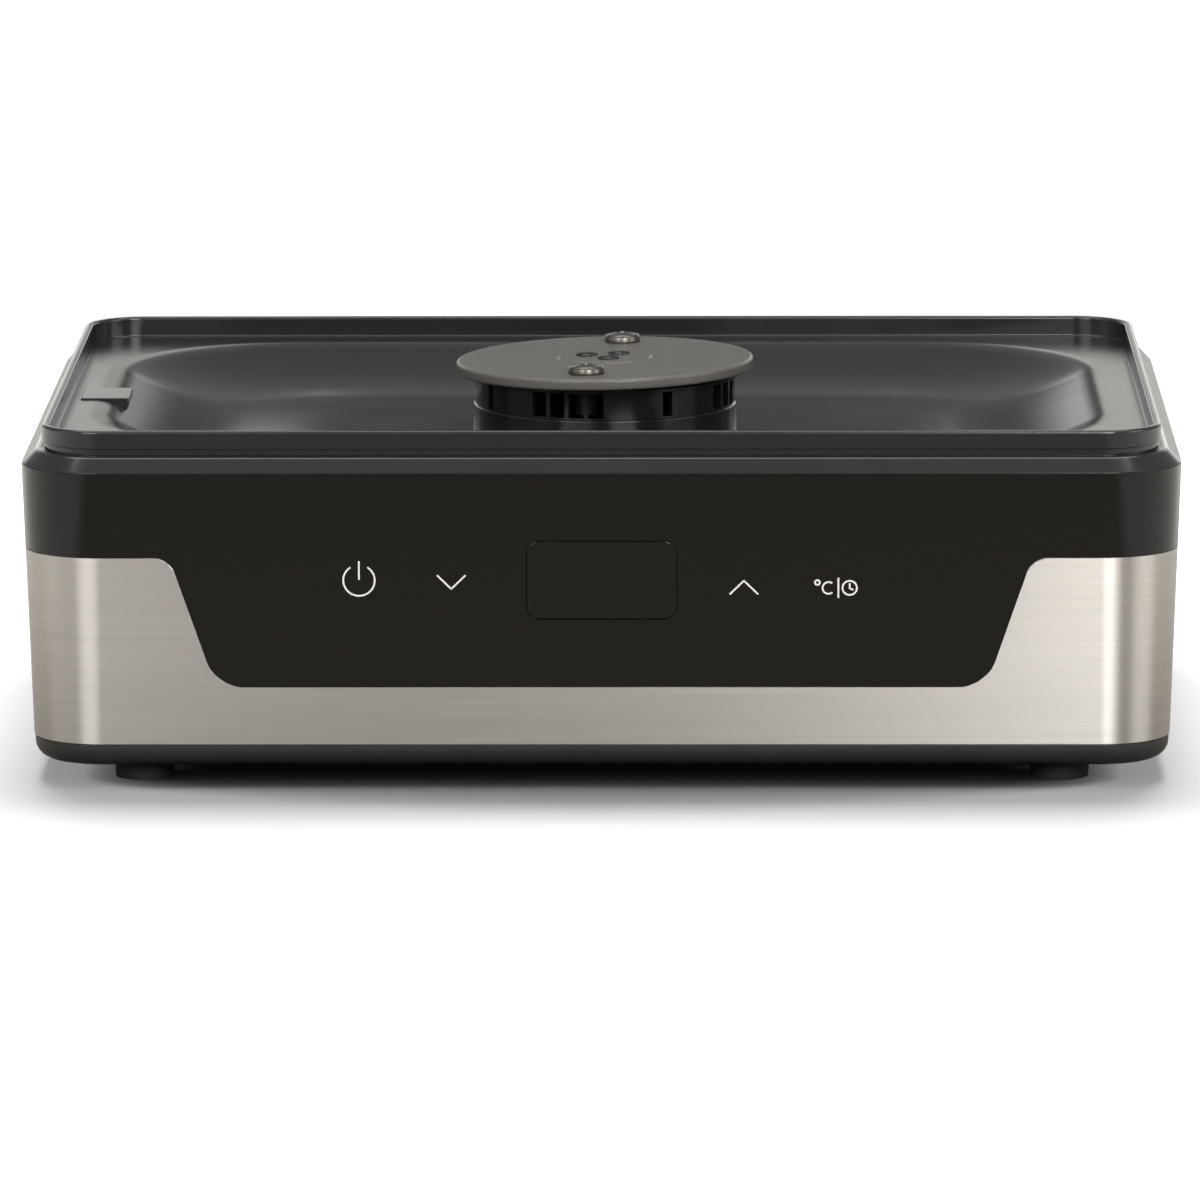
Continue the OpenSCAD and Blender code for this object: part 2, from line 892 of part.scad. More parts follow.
module transformer() {
  color("#c9b23a")
    block([104, -42, board_top + 6], [132, -18, board_top + 24]);
  color("#55585c") {
    block([100, -36, board_top], [136, -24, board_top + 6]);
    block([100, -36, board_top + 6], [104, -24, board_top + 24]);
    block([132, -36, board_top + 6], [136, -24, board_top + 24]);
  }
}

module capacitors() {
  color("#20242c")
    at([[74, -44], [88, -38], [80, 2]])
      rotate_extrude()
        polygon([[0, board_top], [5.6, board_top], [5.6, board_top + 1.6], [5.2, board_top + 2.2],
          [5.6, board_top + 2.8], [5.6, board_top + 19.6], [5.2, board_top + 20], [0, board_top + 20]]);
  color("#8a2f24") block([92, -12, board_top], [110, -4, board_top + 14]);
}

module triac() {
  color(black) block([70, -22.6, board_top + 3], [80, -18, board_top + 19]);
  color(zinc)
    for (i = [0:2])
      block([71.6 + i * 2.9, -20.7, board_top], [72.6 + i * 2.9, -20, board_top + 3]);
}

module heat_sink() {
  color("#b7bac0") {
    block([66, -18, board_top], [88, -15.5, board_top + 26]);
    for (i = [0:5])
      block([66 + i * 4.1, -15.5, board_top], [67.5 + i * 4.1, -8, board_top + 26]);
  }
}

module terminal_block() {
  color("#3d7a4a")
    difference() {
      block([104, 12, board_top], [133, 23, board_top + 12]);
      for (i = [0:3])
        translate([108 + i * 7.3, 17.5, board_top + 7]) cylinder(r = 2.2, h = 6);
      for (i = [0:3])
        translate([108 + i * 7.3, 24, board_top + 4]) rotate([90, 0, 0]) cylinder(r = 1.7, h = 5);
    }
}

module mains_fuse() {
  z = board_top + 5;
  translate([92, 4, z])
    rotate([-90, 0, 0]) {
      color("#d8e4e8") cylinder(r = 2.4, h = 20);
      color(zinc)
        for (end = [0, 14.5])
          translate([0, 0, end]) cylinder(r = 2.6, h = 5.5);
    }
  color(zinc)
    for (y = [5, 20])
      block([90.5, y, board_top], [93.5, y + 3, z - 2]);
}

// ---- Control board behind the front ----
control_t = 1.6;

module front_post(p, r, y0, y1) {
  translate([p[0], y0, p[1]])
    rotate([-90, 0, 0])
      cylinder(r = r, h = y1 - y0);
}

module control_board() {
  color(board_green)
    difference() {
      block([-84, control_y, 44], [84, control_y + control_t, 80]);
      for (p = control_screw_places)
        front_post(p, 1.6, control_y - 1, control_y + 3);
    }
  color(cream)
    block([72, control_y + control_t, 58], [84, control_y + control_t + 5, 64]);
}

module control_screws() {
  color(zinc)
    for (p = control_screw_places)
      translate([p[0], control_y + control_t, p[1]])
        rotate([-90, 0, 0])
          pan_screw(0, 2.6, 1.8, 1.25, 6);
}

module led_display() {
  color("#e6e4de")
    block([window_x - 19.5, control_y - 6, window_z - 9.2], [window_x + 19.5, control_y, window_z + 9.2]);
}

module touch_springs() {
  color(steel)
    for (p = touch_places)
      difference() {
        front_post(p, 4.8, front_y + inset(p[1]) + band_wall + 0.25, control_y);
        front_post(p, 4.2, front_y, control_y + 1);
      }
}

module buzzer() {
  color(black) front_post([-30, 62], 6, control_y + control_t, control_y + control_t + 5);
}

module ribbon_cable() {
  start = control_y + control_t + 5;
  color("#8c8f96")
    translate([73, 0, 0])
      rotate([90, 0, 90])
        linear_extrude(10)
          polygon([[start, 61.5], [-88, 61.5], [-60, 32], [-60, header_high[2]],
            [-61, header_high[2]], [-61, 31.6], [-88.6, 60.5], [start, 60.5]]);
}

// ---- Wiring ----
// One lead through its points, with a round bend at each
module lead(points, r) {
  for (i = [0:len(points) - 2])
    hull() {
      translate(points[i]) sphere(r, $fn = 12);
      translate(points[i + 1]) sphere(r, $fn = 12);
    }
}

lead_r = 1;
gland_inner_y = body_d / 2 - 12;

module wiring_loom() {
  term_z = board_top + 4;
  color("#8a5a2b")
    lead([[gland_x - 1.6, gland_inner_y - 8, gland_z], [108, 40, 30], [108, 26, term_z], [108, 20.3, term_z]],
      lead_r);
  color("#2b5aa0")
    lead([[gland_x + 1.6, gland_inner_y - 8, gland_z], [115.3, 42, 30], [115.3, 26, term_z],
      [115.3, 20.3, term_z]], lead_r);
  color("#a33a2e")
    lead([[122.6, 20.3, term_z], [122.6, 26, term_z], [122.6, 30, 36], [60, 62, 40],
      [8, 54, 40], [8, 48.5, 40]], lead_r);
  color("#e0ddd4")
    lead([[129.9, 20.3, term_z], [129.9, 26, term_z], [129.9, 34, 38], [60, 70, 42], [-40, 58, 50],
      [-58, 10, 69], [stat_face - 16.2, 4, coil_z - 2]], lead_r);
}

module cord_gland() {
  outer_y = body_d / 2 - inset(gland_z + 8) + slop;
  inner_y = body_d / 2 - inset(gland_z) - frame_skin - frame_wall - 0.6;
  color(rubber_black)
    translate([gland_x, 0, gland_z])
      rotate([-90, 0, 0])
        difference() {
          union() {
            post(8, outer_y, outer_y + 1.8);
            post(gland_r, inner_y - 2, outer_y + 1);
            post(7.5, inner_y - 3, inner_y);
          }
          post(3.6, inner_y - 5, outer_y + 4);
        }
}

top_deck();
fascia_band();
display_window();
steel_sleeve();
inner_frame();
base_plate();
foot_front_left();
foot_front_right();
foot_rear_left();
foot_rear_right();
foot_screws();
body_screws();
air_collar();
vent_ring();
tower_cap();
cap_washers();
cap_screws();
fan_duct();
duct_screws();
heater_frame();
heater_coil();
thermal_fuse();
thermostat();
temperature_sensor();
motor_stator();
motor_bobbin();
motor_coil();
motor_bracket_lower();
motor_bracket_upper();
bearing_lower();
bearing_upper();
motor_screws();
motor_nuts();
motor_grommets();
motor_mount_screws();
fan_shaft();
rotor_core();
thrust_washers();
impeller();
impeller_clip();
power_board();
board_screws();
relay();
transformer();
capacitors();
triac();
heat_sink();
terminal_block();
mains_fuse();
control_board();
control_screws();
led_display();
touch_springs();
buzzer();
ribbon_cable();
wiring_loom();
cord_gland();
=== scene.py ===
import math

import bmesh
import bpy
from mathutils import Matrix, Vector


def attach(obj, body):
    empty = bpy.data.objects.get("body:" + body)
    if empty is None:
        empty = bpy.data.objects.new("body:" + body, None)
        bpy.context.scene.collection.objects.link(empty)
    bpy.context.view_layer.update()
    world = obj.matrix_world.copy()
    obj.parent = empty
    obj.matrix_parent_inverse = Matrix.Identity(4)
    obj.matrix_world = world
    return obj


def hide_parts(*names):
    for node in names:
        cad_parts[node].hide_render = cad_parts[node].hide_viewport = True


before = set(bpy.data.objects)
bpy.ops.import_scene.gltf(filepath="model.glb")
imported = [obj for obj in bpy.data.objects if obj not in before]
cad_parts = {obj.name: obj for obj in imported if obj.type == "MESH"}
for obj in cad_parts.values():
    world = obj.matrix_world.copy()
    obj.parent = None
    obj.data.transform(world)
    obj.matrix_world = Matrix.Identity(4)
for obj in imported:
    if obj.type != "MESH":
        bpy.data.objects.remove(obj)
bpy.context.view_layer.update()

# ---- Top deck ----
# The satin black ABS moulding that a tray stands on: shoulder, upright lip, flat margin, one long
# dish with a hole for the air tower, and a small key on the left. Injection moulded in one shot,
# fixed from below by six long screws that run up into its posts.
body_w, body_d, corner_r = 340, 248, 24
band_top = 93.5
draft = math.tan(math.radians(2))
deck_z, deck_t = 99, 2.4
lip_top, lip_in, lip_out = 105.1, 8.5, 6
dish_w, dish_d, dish_r, dish_wall, dish_floor = 297, 205, 60, 44, 87
collar_hole_r, flange_z = 40.0, 79.8
body_post_r, body_post_low, duct_post_r, post_sink = 5, 76, 4, 0.3
body_screws = [(sx * 150, sy * 86) for sx in (-1, 1) for sy in (-1, 1)]
body_screws += [(-154, 0), (154, 0)]
duct_screws = [(sx * 36.06, sy * 36.06) for sx in (-1, 1) for sy in (-1, 1)]


def inset(z):
    """How far the drafted wall stands in from the body's widest line at height z, in mm."""
    return (band_top - z) * draft


def new_verts(geometry):
    return [part for part in geometry if isinstance(part, bmesh.types.BMVert)]


def edges_among(geometry, verts):
    """The edges of geometry that run between two of verts."""
    kept = set(verts)
    return [part for part in geometry
            if isinstance(part, bmesh.types.BMEdge) and kept.issuperset(part.verts)]


def section(bm, points, closed=False):
    """A chain of vertices in the XZ plane at the points (x, z); each remembers its row number."""
    row = bm.verts.layers.int.get("row") or bm.verts.layers.int.new("row")
    chain = [bm.verts.new((x, 0, z)) for x, z in points]
    for number, vert in enumerate(chain):
        vert[row] = number + 1
    links = list(zip(chain, chain[1:] + chain[:1] if closed else chain[1:]))
    return chain, [bm.edges.new(pair) for pair in links]


def sweep(bm, points, w, d, r, steps=14, closed=False, front=True):
    """Carries a section of (outset from the corner centre, height) round a rounded rectangle."""
    half_x, half_y = w / 2 - r, d / 2 - r
    verts, edges = section(bm, points, closed)
    to_front = Matrix.Rotation(-math.pi / 2, 3, "Z")
    bmesh.ops.rotate(bm, verts=verts, cent=(0, 0, 0), matrix=to_front)
    bmesh.ops.translate(bm, verts=verts, vec=(half_x, -half_y, 0))
    corners = [(half_x, -half_y), (half_x, half_y), (-half_x, half_y), (-half_x, -half_y)]
    runs = [(0, 2 * half_y, 0), (-2 * half_x, 0, 0), (0, -2 * half_y, 0), (2 * half_x, 0, 0)]
    for side, (corner, run) in enumerate(zip(corners, runs)):
        turned = bmesh.ops.spin(bm, geom=verts + edges, cent=(*corner, 0), axis=(0, 0, 1),
                                angle=math.pi / 2, steps=steps)["geom_last"]
        verts = new_verts(turned)
        edges = edges_among(turned, verts)
        if side == 3 and not front:
            break
        pulled = bmesh.ops.extrude_edge_only(bm, edges=edges)["geom"]
        verts = new_verts(pulled)
        edges = edges_among(pulled, verts)
        bmesh.ops.translate(bm, verts=verts, vec=run)


def outset(points):
    """Turns points of (distance in from the widest line, height) into a section for sweep."""
    return [(corner_r - back, z) for back, z in points]


def close_seams(bm, dist=0.002):
    bmesh.ops.remove_doubles(bm, verts=bm.verts, dist=dist)


def round_rows(bm, radii, segments=4):
    """Rounds every edge that runs along one row of the section, by that row's radius in mm."""
    row = bm.verts.layers.int["row"]
    for radius in sorted(set(radii.values())):
        rows = {number for number, value in radii.items() if value == radius}
        picked = [e for e in bm.edges
                  if e.verts[0][row] == e.verts[1][row] and e.verts[0][row] in rows
                  and len(e.link_faces) == 2]
        bmesh.ops.bevel(bm, geom=picked, offset=radius, offset_type="OFFSET", segments=segments,
                        profile=0.5, affect="EDGES", material=-1, clamp_overlap=True)


def fill_level(bm, z):
    """Fills between the open loops that lie at height z."""
    loops = [e for e in bm.edges if (e.is_boundary or e.is_wire)
             and all(abs(v.co.z - z) < 0.01 for v in e.verts)]
    bmesh.ops.triangle_fill(bm, use_beauty=True, edges=loops)


def ring(bm, r, z):
    """A circle of edges, lying flat."""
    made = bmesh.ops.create_circle(bm, cap_ends=False, radius=r, segments=96)["verts"]
    bmesh.ops.translate(bm, verts=made, vec=(0, 0, z))
    return made


def post(bm, r, z0, z1, x, y):
    """A round post standing between two heights."""
    made = bmesh.ops.create_cone(bm, cap_ends=True, radius1=r, radius2=r, depth=z1 - z0,
                                 segments=32)["verts"]
    bmesh.ops.translate(bm, verts=made, vec=(x, y, (z0 + z1) / 2))


def block(bm, low, high):
    """A box between two corners."""
    made = bmesh.ops.create_cube(bm, size=1)["verts"]
    size = [b - a for a, b in zip(low, high)]
    bmesh.ops.scale(bm, vec=size, verts=made)
    bmesh.ops.translate(bm, verts=made, vec=[(a + b) / 2 for a, b in zip(low, high)])
    return made


def edges_of(verts):
    kept = set(verts)
    return list({e for v in kept for e in v.link_edges if kept.issuperset(e.verts)})


def soften(bm, verts, radius):
    """Rounds every edge among the given vertices."""
    bmesh.ops.bevel(bm, geom=edges_of(verts), offset=radius, offset_type="OFFSET", segments=3,
                    profile=0.5, affect="EDGES", material=-1, clamp_overlap=True)


def finish_mesh(bm, name, finish, body, nodes=(), crease=38, bevel=0.0, segments=3):
    """Turns a bmesh drawn in mm into a finished, smooth-shaded piece that rides on a body."""
    bmesh.ops.scale(bm, vec=(0.001, 0.001, 0.001), verts=bm.verts)
    for face in bm.faces:
        face.smooth = True
    if not bevel:
        for edge in bm.edges:
            edge.smooth = edge.calc_face_angle(0) < math.radians(crease)
    mesh = bpy.data.meshes.new(name)
    bm.to_mesh(mesh)
    bm.free()
    piece = bpy.data.objects.new(name, mesh)
    bpy.context.scene.collection.objects.link(piece)
    mesh.materials.append(finish)
    if bevel:
        rounding = piece.modifiers.new("edge", "BEVEL")
        rounding.width = bevel * 0.001
        rounding.segments = segments
        rounding.limit_method = "ANGLE"
        rounding.angle_limit = math.radians(crease)
        rounding.use_clamp_overlap = True
    shading = piece.modifiers.new("shading", "WEIGHTED_NORMAL")
    shading.keep_sharp = True
    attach(piece, body)
    if nodes:
        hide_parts(*nodes)


def linear(shade):
    """An sRGB hex colour as linear RGBA."""
    parts = [int(shade[i:i + 2], 16) / 255 for i in (1, 3, 5)]
    return (*[c / 12.92 if c <= 0.04045 else ((c + 0.055) / 1.055) ** 2.4 for c in parts], 1)


def add(tree, kind, sockets=(), **settings):
    """Adds a shader node with its settings; a socket takes a value or another node's output."""
    made = tree.nodes.new("ShaderNode" + kind)
    for key, value in settings.items():
        setattr(made, key, value)
    for key, value in dict(sockets).items():
        if isinstance(value, bpy.types.NodeSocket):
            tree.links.new(value, made.inputs[key])
        else:
            made.inputs[key].default_value = value
    return made


def start_finish(name, shade, roughness, **more):
    """A new material with one principled shader. More sockets are named with _ for a space."""
    made = bpy.data.materials.new(name)
    made.use_nodes = True
    made.diffuse_color = linear(shade)
    tree = made.node_tree
    tree.nodes.clear()
    skin = add(tree, "BsdfPrincipled", {"Base Color": linear(shade), "Roughness": roughness})
    for key, value in more.items():
        skin.inputs[key.replace("_", " ")].default_value = value
    add(tree, "OutputMaterial", {"Surface": skin.outputs[0]})
    place = add(tree, "TexCoord").outputs["Object"]
    return made, tree, skin, place


def vary(tree, skin, socket, low, high, pattern):
    """Links a socket to a pattern that runs from low to high."""
    if isinstance(low, str):
        mixed = add(tree, "Mix", {"Factor": pattern, 6: linear(low), 7: linear(high)},
                    data_type="RGBA")
        tree.links.new(mixed.outputs[2], skin.inputs[socket])
    else:
        spread = add(tree, "MapRange", {"Value": pattern, "To Min": low, "To Max": high})
        tree.links.new(spread.outputs[0], skin.inputs[socket])


def grain(tree, place, size_mm, stretch=(1, 1, 1), detail=2.0, contrast=1.0):
    """Noise whose blobs are size_mm across, longer by stretch along each axis."""
    laid = add(tree, "Mapping", {"Vector": place, "Scale": [1 / s for s in stretch]})
    noise = add(tree, "TexNoise", {"Vector": laid.outputs[0], "Scale": 1000 / size_mm,
                                   "Detail": detail})
    if contrast == 1.0:
        return noise.outputs["Fac"]
    spread = add(tree, "MapRange", {"Value": noise.outputs["Fac"],
                                    "From Min": 0.5 - 0.5 / contrast,
                                    "From Max": 0.5 + 0.5 / contrast})
    return spread.outputs[0]


def emboss(tree, skin, height, depth_mm, strength=1.0):
    """Raises the surface by a pattern, depth_mm from its lowest to its highest point."""
    bumped = add(tree, "Bump", {"Height": height, "Distance": depth_mm * 0.001,
                                "Strength": strength})
    tree.links.new(bumped.outputs[0], skin.inputs["Normal"])


def moulded(name, shade, lighter, roughness, grain_mm, depth_mm, spread=0.05, **more):
    """Injection-moulded plastic: an eroded mould leaves a fine grain, flow leaves faint clouds."""
    made, tree, skin, place = start_finish(name, shade, roughness, **more)
    fine = grain(tree, place, grain_mm, detail=3)
    clouds = grain(tree, place, 22, contrast=1.8)
    vary(tree, skin, "Roughness", roughness - spread, roughness + spread, clouds)
    vary(tree, skin, "Base Color", shade, lighter, grain(tree, place, grain_mm * 2.2, contrast=2))
    emboss(tree, skin, fine, depth_mm)
    return made


# Satin ABS from a finely eroded mould: deep charcoal, mirrors softly only at a low angle. The grain
# is 0.25 mm on the real one and is drawn at 0.4 mm so that it shows.
satin_abs = moulded("satin_abs", "#1b1a1a", "#201f1f", 0.18, 0.4, 0.0004, spread=0.02, IOR=1.5)

# From the margin over the lip, down its groove and the shoulder, and back inside
rim_section = [(9.4, deck_z), (lip_in, deck_z), (lip_in, lip_top), (lip_out, lip_top),
               (lip_out, 99.8), (6.7, 99.6), (6.7, 97.6), (5.9, 97.6), (5.9, 97.9), (4.2, 97.9),
               (0, band_top), (2.7, band_top), (2.7, 90), (4.6, 90), (4.6, deck_z - deck_t),
               (9.4, deck_z - deck_t)]
bm = bmesh.new()
sweep(bm, outset(rim_section), body_w, body_d, corner_r, steps=18)
close_seams(bm)
round_rows(bm, {2: 0.5, 3: 0.9, 4: 0.9, 5: 0.15, 10: 0.9, 11: 0.25})

# The dish's wall is a hollow arc that a 20 mm round eases over into the flat margin
rise = deck_z - dish_floor
arc_r = (dish_wall ** 2 + rise ** 2) / (2 * rise)
ease_r = 20
tilt = math.acos(1 - rise / (arc_r + ease_r))
wall_foot = dish_r - dish_wall
wall_edge = wall_foot + (arc_r + ease_r) * math.sin(tilt)
bowl = [(wall_foot + arc_r * math.sin(a), dish_floor + arc_r * (1 - math.cos(a)))
        for a in [tilt * i / 10 for i in range(11)]]
bowl += [(wall_edge - ease_r * math.sin(a), deck_z - ease_r * (1 - math.cos(a)))
         for a in [tilt * i / 6 for i in range(5, -1, -1)]]
for drop in (0, deck_t):
    sweep(bm, [(x, z - drop) for x, z in bowl], dish_w, dish_d, dish_r, steps=20)
close_seams(bm)
top_ring = ring(bm, collar_hole_r, dish_floor)
rim = bmesh.ops.extrude_edge_only(bm, edges=edges_of(top_ring))["geom"]
bmesh.ops.translate(bm, verts=new_verts(rim), vec=(0, 0, -deck_t))
for level in (deck_z, dish_floor, deck_z - deck_t, dish_floor - deck_t):
    fill_level(bm, level)
close_seams(bm)
bmesh.ops.recalc_face_normals(bm, faces=bm.faces)
for x, y in body_screws:
    post(bm, body_post_r, body_post_low, deck_z - deck_t + post_sink, x, y)
for x, y in duct_screws:
    post(bm, duct_post_r, flange_z, dish_floor - deck_t + post_sink, x, y)
tray_key = block(bm, (-158, -17, deck_z - 2.2), (-143.5, 4, deck_z + 0.5))
soften(bm, tray_key, 0.35)
finish_mesh(bm, "top_deck_shell", satin_abs, "base", ["top_deck"])

# ---- Gloss band ----
# High-gloss black ABS in one piece with the control tongue that hangs down its front. It is moulded
# in a polished tool, so it mirrors clearly, with the faint long ripple of a thin moulding.
band_low, band_lip, band_wall = 68.6, band_top - 0.05, 2.5
tongue_slope = math.radians(18.9)
tongue_half, tongue_z, tongue_low_r, tongue_flare_r = 112.3, 30.2, 11, 6.5
front_half = body_w / 2 - corner_r
front_y = -body_d / 2
window_x, window_z, window_w, window_h, window_r = 0.35, 61.9, 44.1, 23.4, 3.8

gloss_abs, tree, skin, place = start_finish("gloss_abs", "#0c0a08", 0.055, IOR=1.42)
emboss(tree, skin, grain(tree, place, 26, stretch=(1.6, 1.6, 1)), 0.02, 0.5)
vary(tree, skin, "Roughness", 0.04, 0.08, grain(tree, place, 9, contrast=1.6))


def flat_outline(bm, corners):
    """Draws a face in the XZ plane through the corners (x, z); gives its vertices in order."""
    verts = [bm.verts.new((x, 0, z)) for x, z in corners]
    bm.faces.new(verts)
    return verts


def round_corners(bm, verts, offset, segments):
    """Rounds a flat outline's corners; offset is how far each round starts from its corner."""
    bmesh.ops.bevel(bm, geom=verts, offset=offset, offset_type="OFFSET", segments=segments,
                    profile=0.5, affect="VERTICES", material=-1, clamp_overlap=False)


def rounded_plate(bm, x, z, w, h, r, segments=6):
    """A rounded rectangle in the XZ plane round the middle (x, z)."""
    corners = flat_outline(bm, [(x - w / 2, z - h / 2), (x + w / 2, z - h / 2),
                                (x + w / 2, z + h / 2), (x - w / 2, z + h / 2)])
    round_corners(bm, corners, r, segments)


def tongue_corners(gap, top):
    """The tongue's two right-hand corners, grown by gap, and the offsets that round them."""
    low = tongue_z - gap
    x_low = tongue_half + gap / math.cos(tongue_slope) - gap * math.tan(tongue_slope)
    x_top = x_low + (top - low) * math.tan(tongue_slope)
    ease = math.tan(math.radians(45) - tongue_slope / 2)
    return (x_low, low, (tongue_low_r + gap) * ease), (x_top, top, (tongue_flare_r - gap) * ease)


def lean_on_front(bm, depth=0.0):
    """Moves flat geometry from the XZ plane onto the front wall's drafted outer face."""
    slope = Matrix(((1, 0, 0, 0),
                    (0, 1, -draft, front_y + band_top * draft + depth),
                    (0, 0, 1, 0),
                    (0, 0, 0, 1)))
    bmesh.ops.transform(bm, matrix=slope, verts=bm.verts)


def fill_outlines(bm):
    """Turns the flat outlines so far, the first one outermost, into one sheet with holes."""
    bmesh.ops.delete(bm, geom=list(bm.faces), context="FACES_ONLY")
    bmesh.ops.triangle_fill(bm, use_beauty=True, edges=list(bm.edges))


def thicken(bm, t):
    """Gives the flat sheet its wall, t deep towards the back."""
    grown = bmesh.ops.extrude_face_region(bm, geom=list(bm.faces), use_keep_orig=True)["geom"]
    bmesh.ops.translate(bm, verts=new_verts(grown), vec=(0, t, 0))


def wrap_round(bm, low, top, t):
    """Makes the front's flat outlines a wall t thick and carries that wall round the body."""
    fill_outlines(bm)
    lean_on_front(bm)
    thicken(bm, t)
    ends = [f for f in bm.faces if abs(abs(f.calc_center_median().x) - front_half) < 0.001]
    bmesh.ops.delete(bm, geom=ends, context="FACES_ONLY")
    wall = [(inset(low), low), (inset(top), top), (inset(top) + t, top), (inset(low) + t, low)]
    sweep(bm, outset(wall), body_w, body_d, corner_r, steps=18, closed=True, front=False)
    close_seams(bm, 0.01)
    bmesh.ops.recalc_face_normals(bm, faces=bm.faces)


bm = bmesh.new()
low, flare = tongue_corners(0, band_low)
corners = flat_outline(bm, [(-front_half, band_lip), (-front_half, band_low),
                            (-flare[0], band_low), (-low[0], low[1]), (low[0], low[1]),
                            (flare[0], band_low), (front_half, band_low), (front_half, band_lip)])
round_corners(bm, [corners[2], corners[5]], flare[2], 10)
round_corners(bm, [v for v in bm.verts if abs(v.co.z - tongue_z) < 0.01], low[2], 12)
rounded_plate(bm, window_x, window_z, window_w, window_h, window_r)
wrap_round(bm, band_low, band_lip, band_wall)
finish_mesh(bm, "gloss_band", gloss_abs, "base", ["fascia_band"], crease=40,
            bevel=0.35)

# ---- Display window ----
# Smoked polycarbonate lens pressed into the tongue from behind the gloss face, flush with it. The
# display module behind it shows only when it is lit.
lens_gap, lens_t = 0.15, 1.4
smoked_lens, tree, skin, place = start_finish("smoked_polycarbonate", "#0e0c0a", 0.045, IOR=1.44,
                                              Transmission_Weight=0.2)
vary(tree, skin, "Roughness", 0.03, 0.07, grain(tree, place, 12, contrast=1.6))
bm = bmesh.new()
rounded_plate(bm, window_x, window_z, window_w - 2 * lens_gap, window_h - 2 * lens_gap,
              window_r - lens_gap, 8)
lean_on_front(bm)
thicken(bm, lens_t)
bmesh.ops.recalc_face_normals(bm, faces=bm.faces)
finish_mesh(bm, "display_lens", smoked_lens, "base", ["display_window"],
            bevel=0.25)

# ---- Touch signs ----
# White screen-printed signs over the four touch springs: power, down, up, and the switch between
# temperature and time. The ink stands a few hundredths of a millimetre proud of the gloss face.
ink_line, ink_t, ink_clear = 0.5, 0.03, 0.01
screen_ink, tree, skin, place = start_finish("screen_ink", "#d2d0cb", 0.5)
vary(tree, skin, "Base Color", "#c9c7c1", "#dbd9d4", grain(tree, place, 0.5, contrast=1.5))


def bar(bm, a, b):
    """A printed stroke from a to b, both (x, z)."""
    run = Vector((b[0] - a[0], b[1] - a[1]))
    made = bmesh.ops.create_cube(bm, size=1)["verts"]
    bmesh.ops.scale(bm, vec=(run.length, ink_t, ink_line), verts=made)
    lean = Matrix.Rotation(-math.atan2(run[1], run[0]), 3, "Y")
    bmesh.ops.rotate(bm, verts=made, cent=(0, 0, 0), matrix=lean)
    bmesh.ops.translate(bm, verts=made, vec=((a[0] + b[0]) / 2, -ink_t / 2, (a[1] + b[1]) / 2))


def curl(bm, x, z, r, start=0, span=360):
    """A printed arc round (x, z): it starts start degrees from the right and turns left by span."""
    inner, outer = r - ink_line / 2, r + ink_line / 2
    verts = [bm.verts.new((x + a, y, z))
             for a, y in ((inner, 0), (outer, 0), (outer, -ink_t), (inner, -ink_t))]
    edges = [bm.edges.new(pair) for pair in zip(verts, verts[1:] + verts[:1])]
    bmesh.ops.rotate(bm, verts=verts, cent=(x, 0, z),
                     matrix=Matrix.Rotation(-math.radians(start), 3, "Y"))
    full = span >= 360
    if not full:
        bm.faces.new(verts)
    spun = bmesh.ops.spin(bm, geom=verts + edges, cent=(x, 0, z), axis=(0, -1, 0),
                          angle=math.radians(span), steps=28, use_merge=full)["geom_last"]
    if not full:
        bm.faces.new(new_verts(spun))


bm = bmesh.new()
# power
curl(bm, -70.4, 61.9, 4.6, 90 + 33, 360 - 66)
bar(bm, (-70.4, 62.1), (-70.4, 67.6))
# down and up
for x, z, up in ((-43.5, 61.3, -1), (41.8, 59.8, 1)):
    for side in (-1, 1):
        bar(bm, (x + side * 4.15, z - up * 2.1), (x - side * 0.2, z + up * 2.15))
# degree ring, C and dividing stroke
curl(bm, 63.2, 61.2, 0.7)
curl(bm, 66.45, 59.6, 1.75, 52, 256)
bar(bm, (69.3, 56.6), (69.3, 62.6))
# clock
curl(bm, 72.6, 59.6, 2.1)
bar(bm, (72.6, 59.5), (72.6, 61.0))
bar(bm, (72.4, 59.6), (73.7, 59.0))
close_seams(bm)
bmesh.ops.recalc_face_normals(bm, faces=bm.faces)
lean_on_front(bm, depth=-ink_clear)
finish_mesh(bm, "touch_signs", screen_ink, "base")

# ---- Steel sleeve ----
# 0.6 mm stainless sheet wrapped round the frame, cut out in front for the tongue. It is linished
# lengthwise on a belt, so the scratches run round the body and each light spreads up and down.
steel_low, steel_top, steel_t, steel_gap = 12.9, 68.4, 0.6, 0.25
brushed_stainless, tree, skin, place = start_finish("brushed_stainless", "#c6c2bc", 0.4,
                                                    Metallic=1.0, Anisotropic=0.9,
                                                    Anisotropic_Rotation=0.25)
# Belt scratches are 0.05 mm wide; drawn 0.35 mm wide and about 60 mm long so that they show
scratches = grain(tree, place, 0.35, stretch=(170, 170, 1), detail=4, contrast=1.6)
bands = grain(tree, place, 2.4, stretch=(60, 60, 1), contrast=1.4)
both = add(tree, "Math", {0: scratches, 1: bands, 2: 0.15}, operation="MULTIPLY_ADD")
vary(tree, skin, "Base Color", "#bdb9b3", "#d3cfc9", both.outputs[0])
vary(tree, skin, "Roughness", 0.36, 0.44, scratches)
emboss(tree, skin, scratches, 0.004, 0.6)

